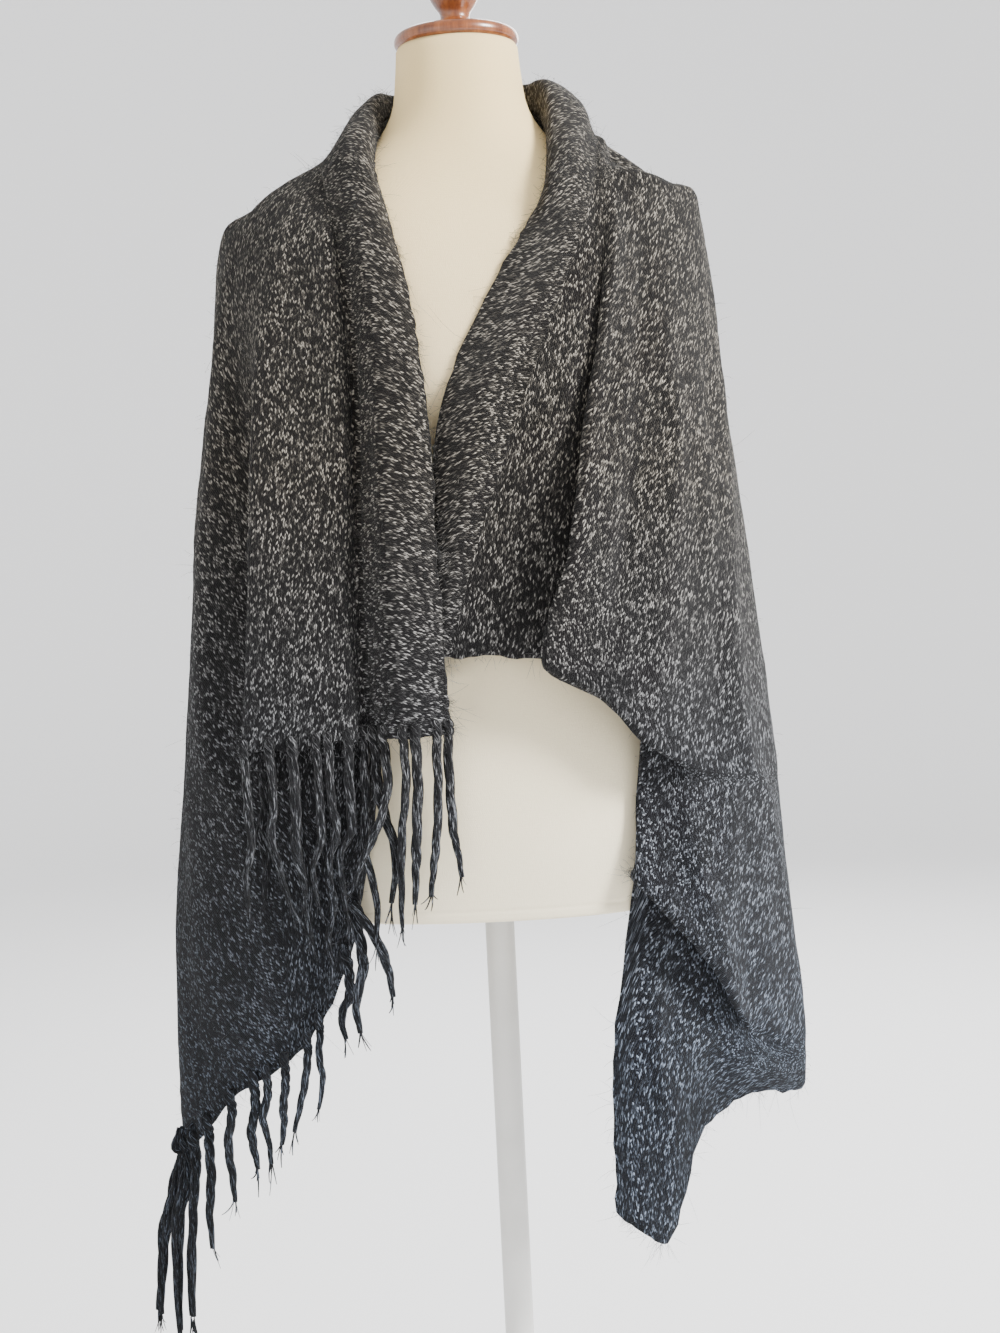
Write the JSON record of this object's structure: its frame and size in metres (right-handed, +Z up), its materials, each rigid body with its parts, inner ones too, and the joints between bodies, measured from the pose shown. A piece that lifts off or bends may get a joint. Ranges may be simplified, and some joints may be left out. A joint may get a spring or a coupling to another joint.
{
  "type": "fringed knitted wrap cardigan on a dress form with stand",
  "caption": "Open fringed wrap in marled knit, draped as a cardigan over a limbless linen dress form with a turned wood neck cap, on a pole and round base.",
  "frame": {"origin": "on the floor at the centre of the stand's round base, under the middle of the form", "axes": "+Z up; the form faces -Y; the end of the wrap with the fringe hangs at -X"},
  "size_m": [0.5698, 0.31, 1.5393],
  "materials": {
    "knit": "marled charcoal knit with light flecks, matt",
    "fringe": "marled charcoal yarn, matt",
    "linen": "cream linen drawn tight, matt",
    "wood": "turned and varnished, orange brown",
    "paint": "off-white paint, satin"
  },
  "bodies": {
    "root": {"band_left": "knit", "front_left": "knit", "drop_left": "knit", "back": "knit", "drop_right": "knit", "front_right": "knit", "band_right": "knit", "collar": "knit", "fringe_front": "fringe", "fringe_middle": "fringe", "fringe_inner": "fringe", "fringe_lower": "fringe", "torso": "linen", "neck_cap": "wood", "stand_base": "paint", "stand_socket": "paint", "stand_pole": "paint", "stand_flange": "paint"}
  },
  "joints": []
}
